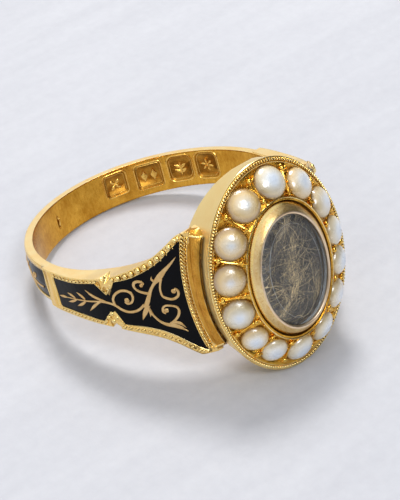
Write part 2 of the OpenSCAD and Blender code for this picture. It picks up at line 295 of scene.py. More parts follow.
def oval_walk(a, b, pitch):
    """Angles that step evenly along an oval."""
    t = np.linspace(0, 2 * math.pi, 2001)
    s = np.concatenate([[0], np.cumsum(np.hypot(np.diff(b * np.cos(t)), np.diff(a * np.sin(t))))])
    n = int(round(s[-1] / pitch))
    return np.interp(np.arange(n) * s[-1] / n, s, t)


# ---------------------------------------------------------------- materials
def srgb(r, g, b):
    f = lambda c: c / 12.92 if c <= 0.04045 else ((c + 0.055) / 1.055) ** 2.4
    return (f(r / 255), f(g / 255), f(b / 255), 1)


class Mat:
    def __init__(self, name):
        self.m = bpy.data.materials.new(name)
        self.m.use_nodes = True
        self.t = self.m.node_tree
        self.bsdf = next(n for n in self.t.nodes if n.type == "BSDF_PRINCIPLED")
        self.out = next(n for n in self.t.nodes if n.type == "OUTPUT_MATERIAL")

    def node(self, kind, props=None, **ins):
        n = self.t.nodes.new(kind)
        for k, v in (props or {}).items():
            setattr(n, k, v)
        for k, v in ins.items():
            self.set(n, k.replace("_", " "), v)
        return n

    def set(self, n, key, v):
        s = n.inputs[key]
        if isinstance(v, bpy.types.NodeSocket):
            self.t.links.new(v, s)
        else:
            s.default_value = v

    def coords(self, scale=(1, 1, 1)):
        """Coordinates in mm along the ring's own axes, stretched by scale."""
        c = self.node("ShaderNodeTexCoord")
        m = self.node("ShaderNodeMapping", {"vector_type": "POINT"}, Vector=c.outputs["Object"])
        m.inputs["Scale"].default_value = (1000, 1000, 1000)
        m.inputs["Rotation"].default_value = (LAY, 0, 0)
        off = (0, -(LAY_Y * CL - LIFT * SL), -(LAY_Y * SL + LIFT * CL))
        m.inputs["Location"].default_value = off
        if tuple(scale) == (1, 1, 1):
            return m.outputs[0]
        k = self.node("ShaderNodeVectorMath", {"operation": "MULTIPLY"})
        self.t.links.new(m.outputs[0], k.inputs[0])
        k.inputs[1].default_value = scale
        return k.outputs[0]

    def noise(self, scale, detail=4, rough=0.55, vec=None, distortion=0.0):
        n = self.node("ShaderNodeTexNoise", Vector=vec or self.coords(), Scale=scale, Detail=detail, Roughness=rough, Distortion=distortion)
        return n.outputs["Fac"]

    def ramp(self, fac, stops):
        n = self.node("ShaderNodeValToRGB", Fac=fac)
        e = n.color_ramp.elements
        while len(e) < len(stops):
            e.new(0.5)
        for x, (pos, col) in zip(e, stops):
            x.position, x.color = pos, col
        return n.outputs[0]

    def remap(self, v, a, b, c, d):
        n = self.node("ShaderNodeMapRange", Value=v)
        for k, x in zip(("From Min", "From Max", "To Min", "To Max"), (a, b, c, d)):
            n.inputs[k].default_value = x
        return n.outputs[0]

    def mix(self, fac, a, b, how="MIX"):
        n = self.node("ShaderNodeMix", {"data_type": "RGBA", "blend_type": how})
        for k, v in ((0, fac), (6, a), (7, b)):
            if isinstance(v, bpy.types.NodeSocket):
                self.t.links.new(v, n.inputs[k])
            else:
                n.inputs[k].default_value = v
        return n.outputs[2]

    def bump(self, height, distance, strength=1.0, bevel=None, before=None):
        n = self.node("ShaderNodeBump", Height=height, Distance=distance, Strength=strength)
        if before is not None:
            self.t.links.new(before, n.inputs["Normal"])
        elif bevel:
            b = self.node("ShaderNodeBevel", {"samples": 6}, Radius=bevel)
            self.t.links.new(b.outputs[0], n.inputs["Normal"])
        return n.outputs[0]


def gold(name, light, dark, rough=0.22, vary=0.12, patch=0.8, grain=14.0, grain_um=3.0,
         stretch=(1, 1, 1), bevel=0.00004, spots=None):
    k = Mat(name)
    base = k.noise(patch, 5, 0.6)
    fine = k.noise(grain, 5, 0.65, k.coords(stretch))
    both = k.mix(0.45, k.ramp(base, [(0.3, (0, 0, 0, 1)), (0.7, (1, 1, 1, 1))]), k.ramp(fine, [(0.3, (0, 0, 0, 1)), (0.7, (1, 1, 1, 1))]))
    col = k.ramp(both, [(0.1, dark), (0.9, light)])
    if spots:
        sp = k.noise(spots[0], 3, 0.7)
        col = k.mix(k.remap(sp, spots[1], spots[1] + 0.06, 0, spots[2]), col, dark)
    k.set(k.bsdf, "Base Color", col)
    k.bsdf.inputs["Metallic"].default_value = 1.0
    k.set(k.bsdf, "Roughness", k.remap(fine, 0.3, 0.7, max(rough - vary / 2, 0.04), rough + vary / 2))
    k.set(k.bsdf, "Normal", k.bump(fine, grain_um * 1e-6, 1.0, bevel))
    return k.m


m_hoop = gold("gold_polished", srgb(255, 222, 148), srgb(240, 192, 100), 0.20, 0.10, 0.7, 9, 3)
# inward faces of the hoop and head: a deeper, darker copy of the polished gold that paints gold-on-gold reflection and
# shade there
m_inside_shaded = gold("gold_inside", srgb(248, 192, 78), srgb(186, 128, 36), 0.21, 0.12, 0.6, 7, 6, (1, 1, 0.35), spots=(2.2, 0.55, 0.35))
m_pale = gold("gold_rim", srgb(255, 234, 180), srgb(254, 216, 142), 0.42, 0.12, 0.9, 16, 4)
m_satin = gold("gold_satin", srgb(255, 232, 166), srgb(250, 216, 142), 0.40, 0.10, 0.5, 22, 6, (0.5, 1, 2.2))
m_plate = gold("gold_plate", srgb(255, 204, 86), srgb(188, 122, 22), 0.20, 0.16, 1.6, 6, 30, spots=(5.0, 0.56, 0.5))
m_amber = gold("gold_amber", srgb(240, 186, 84), srgb(184, 122, 34), 0.34, 0.15, 1.2, 12, 14)
# darker gold for the floors and walls of the punched cartouches: painted shade in these recesses
m_recess_shade = gold("gold_recess_shade", srgb(212, 156, 62), srgb(138, 90, 26), 0.36, 0.12, 1.6, 14, 8, bevel=None)
m_relief = gold("gold_relief", srgb(255, 218, 122), srgb(232, 176, 76), 0.24, 0.12, 1.5, 12, 5, bevel=None)
m_trim = gold("gold_trim", srgb(255, 234, 168), srgb(250, 210, 122), 0.24, 0.12, 1.5, 12, 5, bevel=None)
m_grain = gold("gold_grain", srgb(255, 216, 108), srgb(244, 178, 60), 0.15, 0.10, 1.5, 12, 5, bevel=None)
m_inlay = gold("gold_inlay", srgb(238, 204, 146), srgb(208, 164, 98), 0.34, 0.12, 2.0, 18, 8, bevel=None)
m_bezel = gold("gold_bezel", srgb(255, 232, 176), srgb(226, 178, 98), 0.34, 0.18, 1.2, 9, 14, bevel=None, spots=(7.0, 0.62, 0.5))
m_crest = gold("gold_crest", srgb(255, 236, 208), srgb(238, 202, 158), 0.36, 0.14, 1.5, 10, 8, bevel=None)
# dark gold that paints shade into grooves, the seam and round beads
m_painted_shade = gold("gold_shaded", srgb(120, 84, 34), srgb(70, 46, 16), 0.5, 0.1, 2, 12, 4, bevel=None)


def enamel_material():
    k = Mat("black_enamel")
    fine = k.noise(26, 3, 0.6)
    speck = k.noise(14, 2, 0.5)
    col = k.mix(k.remap(fine, 0.66, 0.74, 0, 0.55), (0.0016, 0.0016, 0.0022, 1), (0.03, 0.05, 0.11, 1))
    k.set(k.bsdf, "Base Color", col)
    k.set(k.bsdf, "Roughness", k.remap(speck, 0.35, 0.7, 0.10, 0.22))
    k.set(k.bsdf, "Normal", k.bump(k.noise(3.0, 3, 0.5), 12e-6, 1.0))
    k.bsdf.inputs["Specular IOR Level"].default_value = 0.10
    return k.m


def pearl_material(i):
    k = Mat(f"pearl_{i + 1:02d}")
    att = k.node("ShaderNodeAttribute", {"attribute_name": "tone"}).outputs["Fac"]
    cloud = k.noise(1.3, 4, 0.6, distortion=0.6)
    tint, w = TINTS[i], SPREAD[i]
    # edge: dark tan rim, painted shade and painted reflection of the gold round the pearl
    edge = srgb(134, 92, 40) if tint < 0.6 else srgb(146, 114, 70)
    mid = srgb(224, 190, 124) if tint < 0.6 else srgb(222, 202, 158)
    if tint < -0.3:
        edge, mid = srgb(160, 108, 58), srgb(224, 178, 120)
    cool = min(max(tint, 0), 1)
    # pale middle, a painted highlight, cooler on bluer pearls
    highlight_core = tuple(a * (1 - cool) + b * cool for a, b in zip(srgb(252, 240, 214), srgb(244, 250, 255)))
    hue = k.noise(0.9, 2, 0.5, distortion=0.3)
    highlight_core = k.mix(k.remap(hue, 0.35, 0.65, 0.0, 0.4), highlight_core, srgb(238, 216, 196) if i % 3 == 2 else srgb(222, 228, 236))
    tone = k.mix(0.22, att, cloud)
    ramp1 = k.ramp(tone, [(max(0.02, 0.06 + 0.4 * w), edge), (0.32 + 0.9 * w, mid)])
    skin = k.mix(k.remap(tone, 0.28 + w, 0.74 + w, 0, 1), ramp1, highlight_core)
    # a painted bluish-white highlight over the top of the dome
    k.set(k.bsdf, "Base Color", k.mix(k.remap(tone, 0.58 + 0.8 * w, 0.92 + 0.3 * w, 0, 0.7), skin, srgb(218, 232, 252)))
    k.set(k.bsdf, "Roughness", k.remap(cloud, 0.3, 0.7, 0.21, 0.31))
    k.bsdf.inputs["IOR"].default_value = 1.8
    k.bsdf.inputs["Specular IOR Level"].default_value = 0.9
    k.bsdf.inputs["Coat Weight"].default_value = 0.6
    k.bsdf.inputs["Coat Roughness"].default_value = 0.09
    k.set(k.bsdf, "Normal", k.bump(k.noise(2.2, 4, 0.55), 45e-6, 1.0))
    return k.m


def crystal_material(name, tint, pass_tint, frost=0.0):
    k = Mat(name)
    k.bsdf.inputs["Base Color"].default_value = tint
    k.bsdf.inputs["Transmission Weight"].default_value = 1.0
    k.bsdf.inputs["IOR"].default_value = 1.5
    k.set(k.bsdf, "Roughness", k.remap(k.noise(4, 3, 0.6), 0.3, 0.7, frost, frost + 0.014))
    k.bsdf.inputs["Specular Tint"].default_value = (0.62, 0.60, 0.55, 1)
    lp = k.node("ShaderNodeLightPath")
    tr = k.node("ShaderNodeBsdfTransparent")
    tr.inputs[0].default_value = pass_tint
    mx = k.node("ShaderNodeMixShader")
    k.t.links.new(lp.outputs["Is Shadow Ray"], mx.inputs[0])
    k.t.links.new(k.bsdf.outputs[0], mx.inputs[1])
    k.t.links.new(tr.outputs[0], mx.inputs[2])
    k.t.links.new(mx.outputs[0], k.out.inputs["Surface"])
    return k.m


def hair_material(name, stops, rough=0.45):
    k = Mat(name)
    att = k.node("ShaderNodeAttribute", {"attribute_name": "tone"}).outputs["Fac"]
    tone = k.mix(0.12, att, k.noise(6, 3, 0.6))
    k.set(k.bsdf, "Base Color", k.ramp(tone, stops))
    k.bsdf.inputs["Roughness"].default_value = rough
    k.bsdf.inputs["Sheen Weight"].default_value = 0.3
    k.set(k.bsdf, "Normal", k.bump(k.noise(30, 2, 0.5, k.coords((1, 1, 0.2))), 8e-6, 1.0))
    return k.m


m_enamel = enamel_material()
m_crystal = crystal_material("crystal", (0.97, 0.97, 0.965, 1), (0.94, 0.94, 0.93, 1))
m_bevel = crystal_material("crystal_bevel", (0.95, 0.96, 0.97, 1), (0.92, 0.93, 0.94, 1), 0.14)
k = Mat("crystal_edge")
k.set(k.bsdf, "Base Color", k.ramp(k.noise(5, 3, 0.6), [(0.3, srgb(128, 132, 134)), (0.7, srgb(176, 178, 176))]))
k.bsdf.inputs["Roughness"].default_value = 0.55
m_edge = k.m
# whitish ring material that paints a highlight along the crystal's bevel edge
k = Mat("crystal_arris_glint")
k.set(k.bsdf, "Base Color", k.ramp(k.noise(2, 3, 0.6), [(0.35, srgb(150, 156, 160)), (0.65, srgb(236, 240, 242))]))
k.bsdf.inputs["Roughness"].default_value = 0.4
k.bsdf.inputs["Transmission Weight"].default_value = 0.6
m_arris_glint = k.m
m_strand = hair_material("hair_strands", [(0.10, srgb(20, 14, 8)), (0.50, srgb(64, 50, 30)), (0.92, srgb(228, 200, 148))])
# dark pad that paints the shade under and between the hair strands
m_pad = hair_material("hair_pad", [(0.2, srgb(18, 13, 8)), (0.8, srgb(56, 45, 28))], 0.8)

# ---------------------------------------------------------------- gold body
def region(c, n):
    """Material of a face of the gold body from its middle and normal, ring's own frame."""
    x, y, z = c
    rho, ang = math.hypot(x, y), math.degrees(math.atan2(abs(x), -y))
    bk = RIM_Y + y                       # distance behind the rim
    if y < -(RIM_Y + 0.005):
        return 4
    a = np.interp(-bk, [-4.3, -1.4, -0.3, -0.08], [-0.90, -0.30, -0.06, 0])
    b = np.interp(-bk, [-4.3, -1.4, -0.3, -0.08], [-0.68, -0.22, -0.045, 0])
    q = math.hypot(x / (HEAD_B + b), z / (HEAD_A + a))
    out = n[0] * x / HEAD_B ** 2 + n[2] * z / HEAD_A ** 2
    if y < -7.0 and abs(q - 1) < 0.012 and out > 0 and abs(n[1]) < 0.6:
        return 3
    flare = np.interp(abs(z), [1.25, 1.36, 1.60, 1.80, 2.0, 2.4, 2.8, 3.3, 4.0, 5.2, 6.2, 6.7, 6.9, 7.2],
                      [0, 0.03, 0.12, 0.26, 0.46, 0.82, 1.12, 1.34, 1.48, 1.63, 1.88, 2.16, 2.50, 3.0])
    # cartouche recesses take the darker gold of painted shade
    if abs(z) < 1.25 and y > 0 and BORE + 0.01 < rho < BORE + 0.14:
        return 7
    if rho < BORE + flare + 0.04 and n[0] * x + n[1] * y < -0.25 * rho:
        return 1
    if abs(ang - 56.5) < 2.6 and abs(abs(z) - 1.55) < 0.5 and 0.3 < abs(n[2]) < 0.93 and rho > BORE + 0.1:
        return 6
    if -11.3 < y < -9.85 and abs(x) > 3.8 and abs(z) < 4.25 and abs(n[2]) < 0.6 \
            and abs(rho - (BORE + at(ang, 1))) > 0.035 and n[0] * x > 0:
        return 5
    if abs(n[2]) > 0.7:
        return 5 if -11.3 < y < -10.3 and abs(x) > 4.2 else 2
    return 0


# cartouches punched inside the hoop: (from angle, to angle, low, high, chamfer)
MARKS = [(159.7, 170.9, -0.58, 1.04, 0.26), (142.5, 155.1, -0.78, 1.02, 0.26),
         (127.7, 139.3, -0.78, 1.10, 0.46), (114.7, 125.9, -0.82, 1.14, 0.46)]


def plaque(a0, a1, z0, z1, ch, grow=0.0, n=5):
    """Outline of a cartouche, in length round the bore and height, with rounded corners."""
    s0, s1 = math.radians(a0) * BORE - grow, math.radians(a1) * BORE + grow
    lo, hi, q = z0 - grow, z1 + grow, ch + grow * 0.4
    out = []
    for cx, cz, a in ((s1 - q, hi - q, 0), (s0 + q, hi - q, 90), (s0 + q, lo + q, 180), (s1 - q, lo + q, 270)):
        for k in range(n + 1):
            t = math.radians(a + 90 * k / n)
            out.append((cx + q * math.cos(t), cz + q * math.sin(t)))
    return np.array(out)


def bore_wall(s, z, lift, r0=8.70):
    a = np.asarray(s, float) / BORE
    r = r0 - lift
    return np.stack([r * np.sin(a), -r * np.cos(a), np.broadcast_to(z, a.shape)], 1)


cut = Geo()
for a0, a1, z0, z1, ch in MARKS:
    o0, o1 = plaque(a0, a1, z0, z1, ch, 0.02), plaque(a0, a1, z0, z1, ch, -0.05)
    v = np.concatenate([bore_wall(o0[:, 0], o0[:, 1], 0, 8.45), bore_wall(o1[:, 0], o1[:, 1], 0, 8.70)])
    k = len(o0)
    cut.add(v, grid(2, k, False, True) + [list(range(k)), list(range(k, 2 * k))[::-1]])
# a small nick on the near side of the hoop's inside
v, f = BALL_FINE
cut.add(np.array([8.6 * math.sin(math.radians(-158.2)), -8.6 * math.cos(math.radians(-158.2)), -0.08]) + v * np.array([0.16, 0.09, 0.5]), f)
# a wide notch across both rims of each shoulder, over the enamel's cusps
for side in (-1, 1):
    for up in (-1, 1):
        a = math.radians(56.6)
        er = np.array([side * math.sin(a), -math.cos(a), 0.0])
        et = np.array([side * math.cos(a), math.sin(a), 0.0])
        zt = float(at(56.6, 2)) * up
        v = []
        for r, w, d in ((BORE + 0.30, 0.06, 0.04), (BORE + 2.2, 0.52, 0.50)):
            for dt, dz in ((-w, 0.06), (w, 0.06), (0, -d)):
                v.append(er * r + et * dt + np.array([0, 0, zt + up * dz]))
        cut.add(np.array(v), [[0, 1, 2], [3, 5, 4], [0, 3, 4, 1], [1, 4, 5, 2], [2, 5, 3, 0]])

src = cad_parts["ring_body"].data.copy()
src.materials.clear()
bm = bmesh.new()
bm.from_mesh(src)
bmesh.ops.remove_doubles(bm, verts=bm.verts, dist=3e-7)
bm.to_mesh(src)
bm.free()
tmp = bpy.data.objects.new("tmp_body", src)
bpy.context.scene.collection.objects.link(tmp)
cm = bpy.data.meshes.new("tmp_cut")
cm.from_pydata(to_row(np.concatenate(cut.v)).tolist(), [], cut.f)
bm = bmesh.new()
bm.from_mesh(cm)
bmesh.ops.recalc_face_normals(bm, faces=bm.faces)
bm.to_mesh(cm)
bm.free()
cutter = bpy.data.objects.new("tmp_cut", cm)
bpy.context.scene.collection.objects.link(cutter)
# work at a thousand times the size, where the solver is more exact
for o in (tmp, cutter):
    o.data.transform(Matrix.Scale(1000, 4))
mod = tmp.modifiers.new("cut", "BOOLEAN")
mod.operation, mod.object, mod.solver = "DIFFERENCE", cutter, "EXACT"
bpy.context.view_layer.update()
done = bpy.data.meshes.new_from_object(tmp.evaluated_get(bpy.context.evaluated_depsgraph_get()))
done.transform(Matrix.Scale(0.001, 4))
bpy.data.objects.remove(tmp)
bpy.data.objects.remove(cutter)
done.materials.clear()
bm = bmesh.new()
bm.from_mesh(done)
bmesh.ops.triangulate(bm, faces=[f for f in bm.faces if len(f.verts) > 4])
bm.to_mesh(done)
bm.free()


def ring_dir(v):
    return np.stack([v[:, 0], v[:, 1] * CL - v[:, 2] * SL, v[:, 1] * SL + v[:, 2] * CL], 1)


def row_dir(v):
    return np.stack([v[:, 0], v[:, 1] * CL + v[:, 2] * SL, -v[:, 1] * SL + v[:, 2] * CL], 1)


cen = to_ring([p.center for p in done.polygons])
nor = ring_dir(np.array([p.normal for p in done.polygons]))
idx = np.array([region(c, n) for c, n in zip(cen, nor)], np.int32)
done.polygons.foreach_set("material_index", idx)
body = finish_mesh("ring_gold", done, [m_hoop, m_inside_shaded, m_pale, m_satin, m_plate, m_amber, m_trim, m_recess_shade], ["ring_body"], sharp=27, recalc=False)
# exact normals where the surface is known: the finger hole, the flat rims and the drum
co = to_ring([v.co for v in done.vertices])
ln = ring_dir(np.array([c.vector for c in done.corner_normals]))
vi = np.array([l.vertex_index for l in done.loops])
lp = np.repeat(np.arange(len(done.polygons)), [p.loop_total for p in done.polygons])
rc = np.hypot(cen[:, 0], cen[:, 1])
radial = (nor[:, 0] * cen[:, 0] + nor[:, 1] * cen[:, 1]) / rc
bore = (radial < -0.98) & (np.abs(rc - BORE) < 0.02) & (np.abs(cen[:, 2]) < 1.3)
flat = np.abs(nor[:, 2]) > 0.995
p3 = co[vi]
rr = np.hypot(p3[:, 0], p3[:, 1])
pick = bore[lp]
ln[pick] = -np.stack([p3[pick, 0] / rr[pick], p3[pick, 1] / rr[pick], np.zeros(pick.sum())], 1)
pick = flat[lp]
ln[pick] = np.stack([np.zeros(pick.sum()), np.zeros(pick.sum()), np.sign(nor[lp[pick], 2])], 1)
drum = (idx == 3)
pick = drum[lp]
dn = np.stack([p3[:, 0] / HEAD_B ** 2, np.zeros(len(p3)), p3[:, 2] / HEAD_A ** 2], 1)
dn /= np.maximum(np.linalg.norm(dn, axis=1, keepdims=True), 1e-9)
ty = nor[lp, 1]
dn = dn * np.sqrt(np.maximum(1 - ty ** 2, 0))[:, None]
dn[:, 1] = ty
ln[pick] = dn[pick]
ln /= np.maximum(np.linalg.norm(ln, axis=1, keepdims=True), 1e-9)
done.normals_split_custom_set(row_dir(ln).tolist())

# generic motifs raised on the floors of the cartouches
marks = Geo()
for i, (a0, a1, z0, z1, ch) in enumerate(MARKS):
    s, z = math.radians((a0 + a1) / 2) * BORE, (z0 + z1) / 2
    o = plaque(a0, a1, z0, z1, ch, 0.05, 6)
    tube(marks, bore_wall(o[:, 0], o[:, 1], 0.0, 8.605), 0.05, 8, True)
    o = plaque(a0, a1, z0, z1, ch, -0.115, 6)
    tube(marks, bore_wall(o[:, 0], o[:, 1], 0.0, 8.70), 0.028, 6, True)
    if i == 0:      # four petals round a dot
        for q in range(4):
            t = math.pi / 4 + q * math.pi / 2
            surface_bead(marks, bore_wall, s + 0.27 * math.cos(t), z + 0.27 * math.sin(t), 0.23, 0.13, 0.075, t)
        surface_bead(marks, bore_wall, s, z, 0.10, 0.10, 0.09)
    elif i == 1:    # two lozenges
        for d in (-0.34, 0.34):
            ribbon(marks, bore_wall, [(s + d, z - 0.46), (s + d, z), (s + d, z + 0.46)], [0.01, 0.22, 0.01], 8, 0.045, -0.03, 0.05)
    elif i == 2:    # a leaf with side leaflets
        ribbon(marks, bore_wall, [(s, z - 0.55), (s, z), (s, z + 0.55)], [0.04, 0.14, 0.01], 8, 0.045, -0.03, 0.05)
        for d in (-1, 1):
            for h in (-0.24, 0.12):
                ribbon(marks, bore_wall, [(s, z + h - 0.14), (s + d * 0.2, z + h), (s + d * 0.44, z + h + 0.2)], [0.04, 0.13, 0.01], 6, 0.04, -0.03, 0.05)
    else:           # six rays
        for q in range(6):
            t = q * math.pi / 3 + 0.3
            ribbon(marks, bore_wall, [(s + 0.1 * math.cos(t), z + 0.1 * math.sin(t)), (s + 0.3 * math.cos(t), z + 0.3 * math.sin(t)), (s + 0.50 * math.cos(t), z + 0.50 * math.sin(t))], [0.04, 0.10, 0.01], 5, 0.04, -0.03, 0.05)
        surface_bead(marks, bore_wall, s, z, 0.13, 0.13, 0.09)
# burr thrown up beside the nick
s = math.radians(-158.2) * BORE
surface_bead(marks, bore_wall, s - 0.10, -0.10, 0.075, 0.30, 0.05, 0.12, 0.09, shape=BALL_FINE)
surface_bead(marks, bore_wall, s - 0.04, 0.24, 0.06, 0.12, 0.04, -0.3, 0.09, shape=BALL_FINE)
marks.build("punched_marks", [m_relief], "gold")

# ---------------------------------------------------------------- shoulders
def stroke(pts, w): return [(float(s_of(a)), z) for a, z in pts], w


SCROLL = [stroke(*x) for x in [
    ([(83.6, -.22), (81, -.19), (78.4, -.165)], [.01, .10, .03]),
    ([(79.0, -.17), (72.8, -.09), (67.4, -.04), (62.3, .04), (59, .06), (56.1, -.05), (54.4, -.22), (52.7, -.46), (50.6, -.62), (48.3, -.61), (46.3, -.48), (44.3, -.19)],
     [.03, .05, .06, .07, .09, .09, .09, .10, .10, .10, .10, .10]),
    ([(77.4, .22), (75.5, .12), (73.4, -.02)], [.01, .09, .05]),
    ([(78.2, -.46), (75.5, -.33), (72.8, -.13)], [.01, .10, .05]),
    ([(71.6, .46), (69.8, .28), (68.0, .05)], [.01, .10, .06]),
    ([(73.2, -.57), (70.6, -.38), (68.0, -.10)], [.01, .11, .06]),
    ([(66.6, .78), (64.1, .44), (61.5, .25), (58.5, .10)], [.01, .10, .10, .07]),
    ([(67.0, -.74), (64.6, -.38), (62.5, -.12), (61.0, .02)], [.01, .11, .09, .06]),
    ([(54.9, -.12), (55.2, .25), (54.0, .62), (51.7, .87), (49.4, .87), (47.8, .66), (47.6, .34), (48.5, .05), (50.0, -.03), (50.9, .10)],
     [.10, .10, .10, .10, .10, .10, .09, .09, .08, .06]),
    ([(44.2, -.42), (42.9, .01), (42.0, .35), (40.8, .78), (39.1, 1.2), (37.7, 1.45), (36.4, 1.71), (34.7, 2.03), (32.7, 2.38), (31.2, 2.66), (30.0, 2.89)],
     [.17, .16, .14, .11, .12, .19, .20, .14, .10, .06, .005]),
    ([(43.0, -.25), (44.3, -.62), (45.3, -.92), (46.2, -1.24)], [.14, .17, .13, .01]),
    ([(43.4, -.42), (42.9, -.75), (43.3, -1.08)], [.12, .12, .01]),
    ([(41.8, .53), (43.8, .66), (45.5, .88), (46.2, 1.17), (45.7, 1.39), (44.3, 1.44), (42.9, 1.32), (42.8, 1.18)],
     [.11, .10, .09, .10, .11, .11, .09, .05]),
    ([(36.5, 1.5), (37.4, 1.0), (37.7, .64), (37.4, .28), (36.0, .08), (34.4, .02), (32.8, .17), (32.2, .42), (32.5, .66), (33.2, .74)],
     [.10, .08, .08, .09, .10, .10, .10, .10, .09, .07]),
    ([(38.8, 1.3), (39.6, 1.5), (39.3, 1.72)], [.08, .08, .01]),
    ([(43.4, -.40), (42.4, -.92), (41.2, -1.31), (39.8, -1.59), (38.3, -1.74), (36.5, -1.83), (34.4, -2.02), (32.3, -2.30)],
     [.12, .09, .09, .10, .13, .16, .12, .01]),
    ([(37.6, -1.70), (35.6, -1.62), (33.9, -1.76), (32.6, -2.06)], [.08, .11, .10, .01]),
    ([(37.3, -1.66), (35.4, -1.43), (34.0, -1.12), (33.5, -.76), (34.1, -.53), (35.8, -.42), (37.4, -.40), (38.4, -.55), (38.6, -.82), (37.9, -.95)],
     [.07, .09, .10, .10, .09, .08, .08, .09, .09, .06])]]
SPOTS = [(50.0, .20, .17), (43.6, 1.15, .12), (33.6, .56, .16), (37.5, -.74, .15)]


def steps(a0, a1, pitch):
    s0, s1 = float(s_of(a0)), float(s_of(a1))
    return np.linspace(s0, s1, int(round(abs(s1 - s0) / pitch)) + 1)


def end_angle(z, line):
    th = np.linspace(20, 40, 400)
    y = -(BORE + at(th, 1)) * np.cos(np.radians(th))
    return float(np.interp(line(z), y, th))


ROPE = 0.13


def tail_xy(z, y):
    """x of the fishtail's end wall at a height and a place along the finger's normal."""
    bk = RIM_Y + y
    a = np.interp(bk, [0.88, 1.45, 1.95, 2.10], [7.18, 8.70, 10.3, 10.4])
    b = np.interp(bk, [0.88, 1.45, 1.95, 2.10], [0.04, 0.08, 0.12, 0.14]) + HEAD_B
    return b * math.sqrt(max(1 - (z / a) ** 2, 0))


